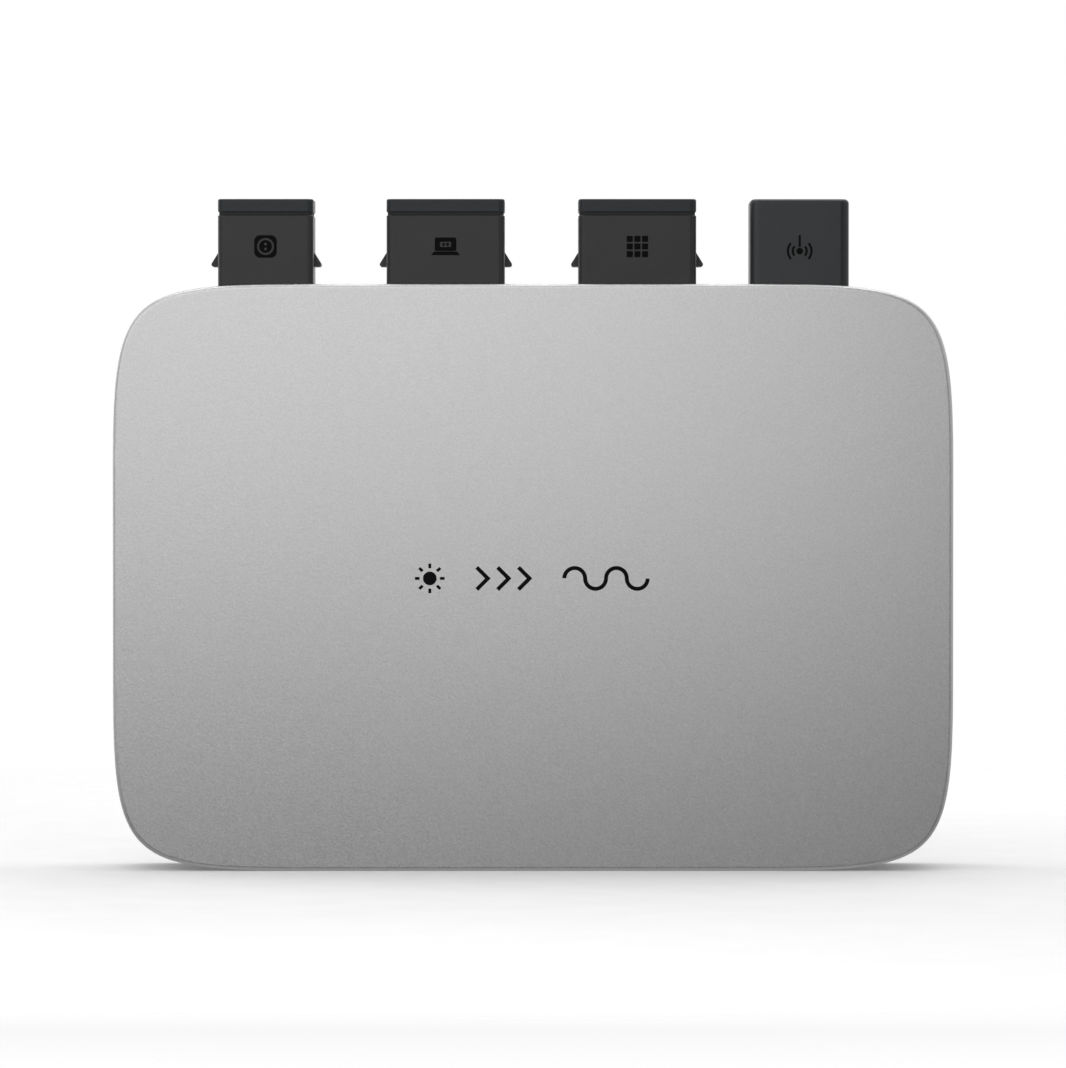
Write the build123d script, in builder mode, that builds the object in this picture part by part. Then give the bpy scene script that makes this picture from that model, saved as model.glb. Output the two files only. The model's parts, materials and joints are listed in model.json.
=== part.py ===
"""A micro inverter: a flat, soft-cornered aluminium case with three sockets and an antenna block on top.

The row frame has +X to the right and +Z up, seen from the front, and +Y towards the finned back. The
origin is the centre of the case's bottom, halfway between the front face and the fin tips. Sizes are in mm.
"""

import os
from dataclasses import dataclass
from math import cos, radians, sin

from build123d import *

os.makedirs("parts", exist_ok=True)

# ---- driving dimensions ----

# The case
WIDTH = 242.0
HEIGHT = 169.0
DEPTH = 33.0
CORNER_REACH = 52.0  # how far along each side the soft corner starts
CORNER_PULL = 0.92  # how far its two handles go towards the sharp corner, as a share of the reach
CORNER_SHRINK = 1.8  # the reach lost per mm of inset that keeps a wall even round the corner
FRONT_WALL = 2.5
SIDE_WALL = 3.5
TOP_WALL = 6.0
FRONT_ROUND = 1.2
REAR_ROUND = 2.0
SEAM_CHAMFER = 0.4
FRONT_Y = -DEPTH / 2
REAR_Y = DEPTH / 2
SEAM_Y = REAR_Y - 8.0  # where the front cover meets the heat sink
CAVITY_FRONT = FRONT_Y + FRONT_WALL
CAVITY_TOP = HEIGHT - TOP_WALL
CAVITY_TOP_CORNER = 21.0
CAVITY_LOW_CORNER = 26.0

# The engraved sign on the front: a sun, three arrowheads and a wave
SIGN_Z = 84.3
SIGN_ENGRAVED = 0.25
SIGN_STROKE = 1.2
SUN_X = -29.7
SUN_RADIUS = 2.0
SUN_RAYS = 8
RAY_MIDDLE = 3.6
RAY_SIZE = (1.4, 0.9)
ARROW_TIPS = (-13.0, -7.0, -1.0)
ARROW_REACH = 3.2  # back from the tip, and up and down from it
WAVE_START = 9.0
WAVE_RADIUS = 3.0
WAVE_HALVES = 4

# Case screws, M4
CASE_SCREW_SPOTS = [
    (-106.8, 14.2),
    (106.8, 14.2),
    (-108.5, 153.5),
    (108.5, 153.5),
    (-113.5, 84.0),
    (113.5, 84.0),
    (-45.0, 7.5),
    (45.0, 7.5),
    (2.5, 158.7),
]
CASE_BOSS_RADIUS = 4.5
CASE_TAP_RADIUS = 1.65
CASE_TAP_DEPTH = 14.0
CASE_SCREW_RADIUS = 1.6
CASE_HEAD_RADIUS = 3.8
CASE_HEAD_HEIGHT = 2.8
CASE_CLEAR_RADIUS = 2.25
CASE_SINK_RADIUS = 4.3
CASE_SINK_DEPTH = 4.2

# Case gasket
GROOVE_OUT = 1.0
GROOVE_IN = 2.6
GROOVE_DEPTH = 1.2
GASKET_SLACK = 0.05

# Heat sink fins, wall mount holes (M5) and pressure vent
FIN_PITCH = 7.0
FIN_GAP = 4.8
FIN_GAP_COUNT = 28
FIN_LENGTH = 138.0
FIN_DEPTH = 5.0
FIN_FLOOR_Y = REAR_Y - FIN_DEPTH
MOUNT_SPACING_X = 140.0
MOUNT_SPACING_Z = 80.0
MOUNT_TAP_RADIUS = 2.1
MOUNT_TAP_DEPTH = 8.5
MOUNT_PAD_RADIUS = 7.0
MOUNT_BOSS_RADIUS = 5.5
MOUNT_BOSS_Y = 6.2
VENT_SPOT = (0.0, 29.0)
VENT_POCKET_RADIUS = 10.0
VENT_HOLE_RADIUS = 4.1
VENT_SHANK_RADIUS = 3.95
VENT_HEAD_RADIUS = 7.0
VENT_SEAL_THICK = 0.6
VENT_HEAD_THICK = 3.2
VENT_NUT_THICK = 2.4

# Sockets and antenna block, all on one line along the top
PORT_Y = -3.0
PORT_DEPTH = 18.0
PORT_CORNER = 2.0
PORT_WALL = 2.2
PORT_TOP = HEIGHT + 24.6
CAP_RIM = 3.7
CAP_LOW = PORT_TOP - CAP_RIM
CAP_SEAL_THICK = 1.0
CAP_ROUND = 0.5
MOUTH_EDGE = 0.2
SEAL_INSET = 0.35
MOUTH_TOP = CAP_LOW - CAP_SEAL_THICK
MOUTH_DEPTH = PORT_DEPTH - 2 * PORT_WALL
MOUTH_CORNER = 1.2
PLUG_LENGTH = 4.0
PLUG_CLEARANCE = 0.3
WINDOW_CLEARANCE = 0.15
FLANGE_THICK = 3.0
FLANGE_SEAL_THICK = 1.0
FLANGE_TOP = CAVITY_TOP - FLANGE_SEAL_THICK
FLANGE_LOW = FLANGE_TOP - FLANGE_THICK
FLANGE_DEPTH = 21.6
FLANGE_EAR = 5.0
FLANGE_CORNER = 1.5
CARRIER_LOW = 166.0
CARRIER_TOP = 172.0
CARRIER_CLEARANCE = 0.1
COLLAR_HEIGHT = 2.5
COLLAR_WALL = 1.2
PIN_TIP = 178.0
PIN_CLEARANCE = 0.06
PIN_BEND = 3.5
RAMP_OUT = 2.05
RAMP_TOP = HEIGHT + 9.4
RAMP_TIP = HEIGHT + 6.1
RAMP_LOW = HEIGHT + 5.2
RAMP_WIDTH = 8.0
KEY_RIB = 0.8
PORT_SCREW_Y = 7.6  # each side of the socket's centre line
PORT_SCREW_INSET = 2.5  # from the end of the flange
PORT_SCREW_RADIUS = 1.2
PORT_TAP_RADIUS = 1.25
PORT_TAP_DEPTH = 3.0
PORT_HEAD_RADIUS = 2.1
PORT_HEAD_HEIGHT = 1.7

ANTENNA_X = 76.9
ANTENNA_WIDTH = 28.6
ANTENNA_DEPTH = 17.0
ANTENNA_WALL = 2.0
ANTENNA_CORNER = 2.6
ANTENNA_TOP_ROUND = 1.3

# Status light
LIGHT_X = -52.6
LIGHT_RADIUS = 2.0
LIGHT_PROUD = 0.3
LIGHT_LOW = 139.0

# Circuit board
BOARD_FRONT = 3.0
BOARD_THICK = 1.6
BOARD_BACK = BOARD_FRONT + BOARD_THICK
BOARD_HALF_WIDTH = 108.0
BOARD_LOW = 13.5
BOARD_TOP = 147.0
BOARD_CORNER_CUT = 10.0
BOARD_SCREW_SPOTS = [
    (-102.0, 32.0),
    (26.0, 24.0),
    (102.0, 32.0),
    (-102.0, 138.0),
    (2.5, 138.0),
    (102.0, 138.0),
]
BOARD_POST_RADIUS = 3.5
TAIL_Z = 142.0  # where the socket contacts turn into the board
TAIL_PROUD = 0.5
TAIL_CLEARANCE = 0.2


@dataclass
class Port:
    """One socket on the top: its name, centre, width and the (offset, radius) of each contact."""

    name: str
    x: float
    width: float
    contacts: list
    depth: float = PORT_DEPTH
    corner: float = PORT_CORNER

    @property
    def mouth(self):
        return self.width - 2 * PORT_WALL

    @property
    def screw_spots(self):
        reach = self.width / 2 + FLANGE_EAR - PORT_SCREW_INSET
        return [(self.x + i * reach, PORT_Y + j * PORT_SCREW_Y) for i in (-1, 1) for j in (-1, 1)]


SIGNAL_CONTACTS = [(-3.75 + 2.5 * i, 0.5) for i in range(4)]
PORTS = [
    Port("ac_port", -77.1, 27.6, [(-7.0, 1.5), (0.0, 1.5), (7.0, 1.5)]),
    Port("battery_port", -25.2, 34.1, [(-10.0, 2.0), (10.0, 2.0)] + SIGNAL_CONTACTS),
    Port("pv_port", 30.1, 34.0, [(-10.5 + 7.0 * i, 1.5) for i in range(4)]),
]
ANTENNA = Port("antenna", ANTENNA_X, ANTENNA_WIDTH, [], ANTENNA_DEPTH, ANTENNA_CORNER)

# ---- helpers ----


def at_depth(y):
    """A sketch plane that faces the front at depth y: its X is the row's X and its Y is the row's Z."""
    return Plane.XZ.offset(-y)


def at_height(z):
    """A level sketch plane at height z."""
    return Plane.XY.offset(z)


def save(piece, name):
    """Labels a finished piece and writes its STEP file."""
    piece.part.label = name
    export_step(piece.part, f"parts/{name}.step")


def case_outline(inset=0.0, mode=Mode.ADD):
    """Adds the case's soft-cornered outline, moved in by inset, to the open sketch."""
    side = WIDTH / 2 - inset
    reach = CORNER_REACH - CORNER_SHRINK * inset
    handle = reach * (1 - CORNER_PULL)
    corners = [(side, inset), (side, HEIGHT - inset), (-side, HEIGHT - inset), (-side, inset)]
    headings = [Vector(1, 0), Vector(0, 1), Vector(-1, 0), Vector(0, -1)]
    with BuildLine() as outline:
        for i, corner in enumerate(corners):
            here = Vector(*corner)
            there = Vector(*corners[(i + 1) % 4])
            arrive = headings[i]
            leave = headings[(i + 1) % 4]
            start = here - arrive * reach
            end = here + leave * reach
            Bezier(start, here - arrive * handle, here + leave * handle, end)
            Line(end, there - leave * reach)
    make_face(outline.edges(), mode=mode)


def block(x_range, y_range, z_range, mode=Mode.ADD):
    """Adds a plain block between two corners to the open part."""
    sizes = [high - low for low, high in (x_range, y_range, z_range)]
    middle = [(low + high) / 2 for low, high in (x_range, y_range, z_range)]
    with Locations(tuple(middle)):
        Box(*sizes, mode=mode)


def screw_group(seat, spots, head, shank, socket, out=1):
    """Identical socket-head screws, with their heads on the seat plane's out side.

    Head and shank are given as (radius, length), and socket is the hexagon's radius.
    """
    with BuildPart() as group:
        with BuildSketch(seat):
            with Locations(*spots):
                Circle(head[0])
        extrude(amount=out * head[1])
        with BuildSketch(seat):
            with Locations(*spots):
                Circle(shank[0])
        extrude(amount=-out * shank[1])
        with BuildSketch(seat.offset(out * head[1])):
            with Locations(*spots):
                RegularPolygon(radius=socket, side_count=6)
        extrude(amount=-out * head[1] * 0.6, mode=Mode.SUBTRACT)
    return group


# ---- the case ----

with BuildPart() as front_cover:
    with BuildSketch(at_depth(SEAM_Y)):
        case_outline()
    extrude(amount=SEAM_Y - FRONT_Y)
    fillet(front_cover.faces().sort_by(Axis.Y)[0].edges(), radius=FRONT_ROUND)
    chamfer(front_cover.faces().sort_by(Axis.Y)[-1].edges(), length=SEAM_CHAMFER)
    with BuildSketch(at_depth(SEAM_Y)) as cavity_outline:
        with Locations((0, (SIDE_WALL + CAVITY_TOP) / 2)):
            Rectangle(WIDTH - 2 * SIDE_WALL, CAVITY_TOP - SIDE_WALL)
        fillet(cavity_outline.vertices().group_by(Axis.Y)[0], radius=CAVITY_LOW_CORNER)
        fillet(cavity_outline.vertices().group_by(Axis.Y)[-1], radius=CAVITY_TOP_CORNER)
    extrude(amount=SEAM_Y - CAVITY_FRONT, mode=Mode.SUBTRACT)
    with BuildSketch(at_depth(SEAM_Y)):
        with Locations(*CASE_SCREW_SPOTS):
            Circle(CASE_BOSS_RADIUS)
    extrude(amount=SEAM_Y - CAVITY_FRONT)
    with BuildSketch(at_depth(SEAM_Y)):
        with Locations(*CASE_SCREW_SPOTS):
            Circle(CASE_TAP_RADIUS)
    extrude(amount=CASE_TAP_DEPTH, mode=Mode.SUBTRACT)
    with BuildSketch(at_depth(SEAM_Y)):
        case_outline(GROOVE_OUT)
        case_outline(GROOVE_IN, mode=Mode.SUBTRACT)
    extrude(amount=GROOVE_DEPTH, mode=Mode.SUBTRACT)
    # The windows that the sockets and the antenna block stand in, and the light's hole
    for port in PORTS + [ANTENNA]:
        with BuildSketch(at_height(CAVITY_TOP)):
            with Locations((port.x, PORT_Y)):
                RectangleRounded(
                    port.width + 2 * WINDOW_CLEARANCE,
                    port.depth + 2 * WINDOW_CLEARANCE,
                    port.corner + WINDOW_CLEARANCE,
                )
        extrude(amount=2 * TOP_WALL, mode=Mode.SUBTRACT)
        with BuildSketch(at_height(CAVITY_TOP)):
            with Locations(*port.screw_spots):
                Circle(PORT_TAP_RADIUS)
        extrude(amount=PORT_TAP_DEPTH, mode=Mode.SUBTRACT)
    with BuildSketch(at_height(CAVITY_TOP)):
        with Locations((LIGHT_X, PORT_Y)):
            Circle(LIGHT_RADIUS + 0.05)
    extrude(amount=2 * TOP_WALL, mode=Mode.SUBTRACT)
    # The sign, engraved in the front face
    with BuildSketch(Plane(origin=(0, FRONT_Y, SIGN_Z), x_dir=(1, 0, 0), z_dir=(0, -1, 0))):
        with Locations((SUN_X, 0)):
            Circle(SUN_RADIUS)
            with PolarLocations(RAY_MIDDLE, SUN_RAYS):
                Rectangle(*RAY_SIZE)
        with BuildLine():
            for tip in ARROW_TIPS:
                back = tip - ARROW_REACH
                Polyline((back, ARROW_REACH), (tip, 0), (back, -ARROW_REACH))
            for i in range(WAVE_HALVES):
                CenterArc((WAVE_START + (2 * i + 1) * WAVE_RADIUS, 0), WAVE_RADIUS, 180 * (i % 2), 180)
        trace(line_width=SIGN_STROKE)
    extrude(amount=-SIGN_ENGRAVED, mode=Mode.SUBTRACT)
save(front_cover, "front_cover")

MOSFET_SPOTS = [(-36.0 + 24.0 * i, z) for i in range(4) for z in (63.0, 107.0)]
MOSFET_SIZE = (10.0, 2.4, 9.0)
THERMAL_PAD_THICK = 1.0
PEDESTAL_FRONT = BOARD_BACK + MOSFET_SIZE[1] + THERMAL_PAD_THICK

with BuildPart() as rear_heatsink:
    with BuildSketch(at_depth(SEAM_Y)):
        case_outline()
    extrude(amount=SEAM_Y - REAR_Y)
    fillet(rear_heatsink.faces().sort_by(Axis.Y)[-1].edges(), radius=REAR_ROUND)
    chamfer(rear_heatsink.faces().sort_by(Axis.Y)[0].edges(), length=SEAM_CHAMFER)
    with BuildSketch(at_depth(REAR_Y)):
        with Locations((0, HEIGHT / 2)):
            with GridLocations(FIN_PITCH, 1, FIN_GAP_COUNT, 1):
                SlotOverall(FIN_LENGTH, FIN_GAP, rotation=90)
    extrude(amount=FIN_DEPTH, mode=Mode.SUBTRACT)
    # Pads for the wall mount's holes, and the vent's pocket
    with BuildSketch(at_depth(FIN_FLOOR_Y)) as mount_pads:
        with Locations((0, HEIGHT / 2)):
            with GridLocations(MOUNT_SPACING_X, MOUNT_SPACING_Z, 2, 2):
                Circle(MOUNT_PAD_RADIUS)
    extrude(amount=-FIN_DEPTH)
    with BuildSketch(at_depth(REAR_Y)):
        with Locations(VENT_SPOT):
            Circle(VENT_POCKET_RADIUS)
    extrude(amount=FIN_DEPTH, mode=Mode.SUBTRACT)
    # Inside: bosses behind the mount holes, posts for the board and pedestals for the transistors
    with BuildSketch(at_depth(SEAM_Y)):
        with Locations((0, HEIGHT / 2)):
            with GridLocations(MOUNT_SPACING_X, MOUNT_SPACING_Z, 2, 2):
                Circle(MOUNT_BOSS_RADIUS)
    extrude(amount=SEAM_Y - MOUNT_BOSS_Y)
    with BuildSketch(at_depth(SEAM_Y)):
        with Locations(*BOARD_SCREW_SPOTS):
            Circle(BOARD_POST_RADIUS)
    extrude(amount=SEAM_Y - BOARD_BACK)
    with BuildSketch(at_depth(SEAM_Y)):
        with Locations(*MOSFET_SPOTS):
            Rectangle(MOSFET_SIZE[0] + 2.5, MOSFET_SIZE[2] + 2.5)
    extrude(amount=SEAM_Y - PEDESTAL_FRONT)
    # Holes
    with BuildSketch(at_depth(REAR_Y)):
        with Locations((0, HEIGHT / 2)):
            with GridLocations(MOUNT_SPACING_X, MOUNT_SPACING_Z, 2, 2):
                Circle(MOUNT_TAP_RADIUS)
    extrude(amount=MOUNT_TAP_DEPTH, mode=Mode.SUBTRACT)
    with BuildSketch(at_depth(REAR_Y)):
        with Locations(*CASE_SCREW_SPOTS):
            Circle(CASE_CLEAR_RADIUS)
    extrude(amount=REAR_Y - SEAM_Y, mode=Mode.SUBTRACT)
    with BuildSketch(at_depth(REAR_Y)):
        with Locations(*CASE_SCREW_SPOTS):
            Circle(CASE_SINK_RADIUS)
    extrude(amount=CASE_SINK_DEPTH, mode=Mode.SUBTRACT)
    with BuildSketch(at_depth(BOARD_BACK)):
        with Locations(*BOARD_SCREW_SPOTS):
            Circle(1.25)
    extrude(amount=-5.5, mode=Mode.SUBTRACT)
    with BuildSketch(at_depth(REAR_Y)):
        with Locations(VENT_SPOT):
            Circle(VENT_HOLE_RADIUS)
    extrude(amount=REAR_Y - SEAM_Y, mode=Mode.SUBTRACT)
save(rear_heatsink, "rear_heatsink")

with BuildPart() as case_gasket:
    with BuildSketch(at_depth(SEAM_Y)):
        case_outline(GROOVE_OUT + GASKET_SLACK)
        case_outline(GROOVE_IN - GASKET_SLACK, mode=Mode.SUBTRACT)
    extrude(amount=GROOVE_DEPTH - GASKET_SLACK)
save(case_gasket, "case_gasket")

case_screws = screw_group(
    at_depth(REAR_Y - CASE_SINK_DEPTH),
    CASE_SCREW_SPOTS,
    head=(CASE_HEAD_RADIUS, CASE_HEAD_HEIGHT),
    shank=(CASE_SCREW_RADIUS, 14.0),
    socket=1.7,
    out=-1,
)
save(case_screws, "case_screws")

# ---- the vent ----

VENT_HEAD_Y = FIN_FLOOR_Y + VENT_SEAL_THICK
VENT_BORE_RADIUS = 2.2
VENT_SLOT_RISE = 1.0

with BuildPart() as vent_plug:
    with BuildSketch(at_depth(VENT_HEAD_Y)):
        with Locations(VENT_SPOT):
            Circle(VENT_HEAD_RADIUS)
    extrude(amount=-VENT_HEAD_THICK)
    fillet(vent_plug.faces().sort_by(Axis.Y)[-1].edges(), radius=0.8)
    with BuildSketch(at_depth(VENT_HEAD_Y)):
        with Locations(VENT_SPOT):
            Circle(VENT_SHANK_RADIUS)
    extrude(amount=VENT_HEAD_Y - SEAM_Y + VENT_NUT_THICK + 0.6)
    # Three slots across the head let the air out at its sides, and the bore under them lets it in
    with BuildSketch(at_depth(VENT_HEAD_Y + VENT_SLOT_RISE)):
        with Locations(VENT_SPOT):
            with PolarLocations(0, 3, angular_range=180):
                Rectangle(2 * VENT_HEAD_RADIUS + 1, 1.4)
    extrude(amount=-1.2, mode=Mode.SUBTRACT)
    with BuildSketch(at_depth(VENT_HEAD_Y + VENT_SLOT_RISE)):
        with Locations(VENT_SPOT):
            Circle(VENT_BORE_RADIUS)
    extrude(amount=20.0, mode=Mode.SUBTRACT)
save(vent_plug, "vent_plug")

with BuildPart() as vent_membrane:
    with BuildSketch(at_depth(VENT_HEAD_Y + VENT_SLOT_RISE - 0.1)):
        with Locations(VENT_SPOT):
            Circle(VENT_BORE_RADIUS - 0.02)
    extrude(amount=0.3)
save(vent_membrane, "vent_membrane")

with BuildPart() as vent_seal:
    with BuildSketch(at_depth(FIN_FLOOR_Y)):
        with Locations(VENT_SPOT):
            Circle(VENT_HEAD_RADIUS - 0.6)
            Circle(VENT_HOLE_RADIUS, mode=Mode.SUBTRACT)
    extrude(amount=-VENT_SEAL_THICK)
save(vent_seal, "vent_seal")

with BuildPart() as vent_nut:
    with BuildSketch(at_depth(SEAM_Y)):
        with Locations(VENT_SPOT):
            RegularPolygon(radius=7.5, side_count=6)
            Circle(VENT_SHANK_RADIUS + 0.05, mode=Mode.SUBTRACT)
    extrude(amount=VENT_NUT_THICK)
save(vent_nut, "vent_nut")

# ---- the sockets ----


def port_shell(port):
    """The moulded socket: a flange inside the case, a mouth on top and a latch ramp on each side."""
    with BuildPart() as shell:
        with BuildSketch(at_height(FLANGE_LOW)):
            with Locations((port.x, PORT_Y)):
                RectangleRounded(port.width, PORT_DEPTH, PORT_CORNER)
        extrude(amount=MOUTH_TOP - FLANGE_LOW)
        chamfer(shell.faces().sort_by(Axis.Z)[-1].edges(), length=MOUTH_EDGE)
        with BuildSketch(at_height(FLANGE_LOW)):
            with Locations((port.x, PORT_Y)):
                RectangleRounded(port.width + 2 * FLANGE_EAR, FLANGE_DEPTH, FLANGE_CORNER)
        extrude(amount=FLANGE_THICK)
        with BuildSketch(at_depth(PORT_Y)):
            for side in (-1, 1):
                wall = port.x + side * port.width / 2
                with BuildLine():
                    Polyline(
                        (wall - side, RAMP_LOW),
                        (wall + side * (RAMP_OUT - 0.4), RAMP_LOW),
                        (wall + side * RAMP_OUT, RAMP_LOW + 0.4),
                        (wall + side * RAMP_OUT, RAMP_TIP),
                        (wall, RAMP_TOP),
                        (wall - side, RAMP_TOP),
                        close=True,
                    )
                make_face()
        extrude(amount=RAMP_WIDTH / 2, both=True)
        with BuildSketch(at_height(CARRIER_LOW)):
            with Locations((port.x, PORT_Y)):
                RectangleRounded(port.mouth, MOUTH_DEPTH, MOUTH_CORNER)
        extrude(amount=MOUTH_TOP - CARRIER_LOW, mode=Mode.SUBTRACT)
        with BuildSketch(at_height(FLANGE_LOW)):
            with Locations((port.x, PORT_Y)):
                RectangleRounded(port.mouth - 3.0, MOUTH_DEPTH - 3.0, MOUTH_CORNER)
        extrude(amount=CARRIER_LOW - FLANGE_LOW, mode=Mode.SUBTRACT)
        # Two key ribs on the mouth's back wall let the plug in one way round
        rib_back = PORT_Y + MOUTH_DEPTH / 2
        for side in (-1, 1):
            rib_x = port.x + side * port.mouth / 4
            rib_depth = (rib_back - KEY_RIB, rib_back + 0.5)
            block((rib_x - 0.8, rib_x + 0.8), rib_depth, (CARRIER_TOP, CAP_LOW - 7.0))
        with BuildSketch(at_height(FLANGE_LOW)):
            with Locations(*port.screw_spots):
                Circle(PORT_SCREW_RADIUS + 0.2)
        extrude(amount=FLANGE_THICK, mode=Mode.SUBTRACT)
    return shell


def port_carrier(port):
    """The insulating block that holds the contacts, with a collar round each power contact."""
    power = [c for c in port.contacts if c[1] > 1]
    signals = [c for c in port.contacts if c[1] <= 1]
    with BuildPart() as carrier:
        with BuildSketch(at_height(CARRIER_LOW)):
            with Locations((port.x, PORT_Y)):
                RectangleRounded(
                    port.mouth - 2 * CARRIER_CLEARANCE,
                    MOUTH_DEPTH - 2 * CARRIER_CLEARANCE,
                    MOUTH_CORNER - CARRIER_CLEARANCE,
                )
        extrude(amount=CARRIER_TOP - CARRIER_LOW)
        for offset, radius in power:
            with BuildSketch(at_height(CARRIER_TOP)):
                with Locations((port.x + offset, PORT_Y)):
                    Circle(radius + COLLAR_WALL)
            extrude(amount=COLLAR_HEIGHT)
        if signals:
            with BuildSketch(at_height(CARRIER_TOP)):
                with Locations((port.x, PORT_Y)):
                    RectangleRounded(2.5 * len(signals) + 1.0, 3.6, 0.6)
            extrude(amount=COLLAR_HEIGHT)
        for offset, radius in port.contacts:
            with BuildSketch(at_height(CARRIER_LOW)):
                with Locations((port.x + offset, PORT_Y)):
                    Circle(radius + PIN_CLEARANCE)
            extrude(amount=CARRIER_TOP - CARRIER_LOW + COLLAR_HEIGHT, mode=Mode.SUBTRACT)
    return carrier


def port_contacts(port):
    """The contacts: round pins that stand in the mouth, run down and turn back into the board."""
    with BuildPart() as contacts:
        for offset, radius in port.contacts:
            x = port.x + offset
            with BuildLine(Plane.YZ.offset(x)) as route:
                FilletPolyline(
                    (PORT_Y, PIN_TIP), (PORT_Y, TAIL_Z), (BOARD_BACK + TAIL_PROUD, TAIL_Z), radius=PIN_BEND
                )
            with BuildSketch(Plane(origin=(x, PORT_Y, PIN_TIP), z_dir=(0, 0, -1))):
                Circle(radius)
            sweep(path=route.wires()[0])
        chamfer(contacts.edges().group_by(Axis.Z)[-1], length=0.25)
    return contacts


def flange_seal(port):
    """The flat ring that the flange squeezes against the inside of the top wall."""
    with BuildPart() as seal:
        with BuildSketch(at_height(FLANGE_TOP)):
            with Locations((port.x, PORT_Y)):
                RectangleRounded(port.width + 2 * FLANGE_EAR - 0.6, FLANGE_DEPTH - 0.6, FLANGE_CORNER)
                RectangleRounded(port.width + 0.2, port.depth + 0.2, port.corner + 0.1, mode=Mode.SUBTRACT)
            with Locations(*port.screw_spots):
                Circle(PORT_SCREW_RADIUS + 0.2, mode=Mode.SUBTRACT)
        extrude(amount=FLANGE_SEAL_THICK)
    return seal


def port_cap(port):
    """The push-in sealing cap: a rim as wide as the socket, a dished top with a finger ridge and a plug."""
    with BuildPart() as cap:
        with BuildSketch(at_height(CAP_LOW)):
            with Locations((port.x, PORT_Y)):
                RectangleRounded(port.width, PORT_DEPTH, PORT_CORNER)
        extrude(amount=CAP_RIM)
        fillet(cap.faces().sort_by(Axis.Z)[-1].edges(), radius=CAP_ROUND)
        chamfer(cap.faces().sort_by(Axis.Z)[0].edges(), length=MOUTH_EDGE)
        with BuildSketch(at_height(PORT_TOP)):
            with Locations((port.x, PORT_Y)):
                RectangleRounded(port.width - 5.0, PORT_DEPTH - 5.0, 1.5)
                Rectangle(port.width, 2.4, mode=Mode.SUBTRACT)
        extrude(amount=-1.8, mode=Mode.SUBTRACT)
        with BuildSketch(at_height(CAP_LOW - PLUG_LENGTH)):
            with Locations((port.x, PORT_Y)):
                RectangleRounded(
                    port.mouth - 2 * PLUG_CLEARANCE,
                    MOUTH_DEPTH - 2 * PLUG_CLEARANCE,
                    MOUTH_CORNER - PLUG_CLEARANCE,
                )
        extrude(amount=PLUG_LENGTH)
        chamfer(cap.faces().sort_by(Axis.Z)[0].edges(), length=0.5)
    return cap


def cap_seal(port):
    """The soft ring under the cap's rim. It shows as the dark line between the cap and the socket."""
    with BuildPart() as seal:
        with BuildSketch(at_height(MOUTH_TOP)):
            with Locations((port.x, PORT_Y)):
                RectangleRounded(
                    port.width - 2 * SEAL_INSET,
                    PORT_DEPTH - 2 * SEAL_INSET,
                    PORT_CORNER - SEAL_INSET,
                )
                RectangleRounded(
                    port.mouth - 2 * PLUG_CLEARANCE + 0.1,
                    MOUTH_DEPTH - 2 * PLUG_CLEARANCE + 0.1,
                    MOUTH_CORNER - PLUG_CLEARANCE + 0.05,
                    mode=Mode.SUBTRACT,
                )
        extrude(amount=CAP_SEAL_THICK)
    return seal


for port in PORTS:
    save(port_shell(port), f"{port.name}_shell")
    save(port_carrier(port), f"{port.name}_carrier")
    save(port_contacts(port), f"{port.name}_contacts")
    save(flange_seal(port), f"{port.name}_flange_seal")
    save(port_cap(port), f"{port.name}_cap")
    save(cap_seal(port), f"{port.name}_cap_seal")

port_screws = screw_group(
    at_height(FLANGE_LOW),
    [spot for port in PORTS + [ANTENNA] for spot in port.screw_spots],
    head=(PORT_HEAD_RADIUS, PORT_HEAD_HEIGHT),
    shank=(PORT_SCREW_RADIUS, FLANGE_THICK + FLANGE_SEAL_THICK + PORT_TAP_DEPTH - 0.4),
    socket=1.0,
    out=-1,
)
save(port_screws, "port_screws")

# ---- the antenna ----

ANTENNA_BOARD_LOW = 151.0
ANTENNA_BOARD_TOP = 189.0
ANTENNA_BOARD_FRONT = PORT_Y - 0.5
ANTENNA_BOARD_BACK = PORT_Y + 0.5
TRACE_THICK = 0.1
TRACE_WIDTH = 1.4
ANTENNA_PLUG = (ANTENNA_X + 6.0, 155.0)

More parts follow.
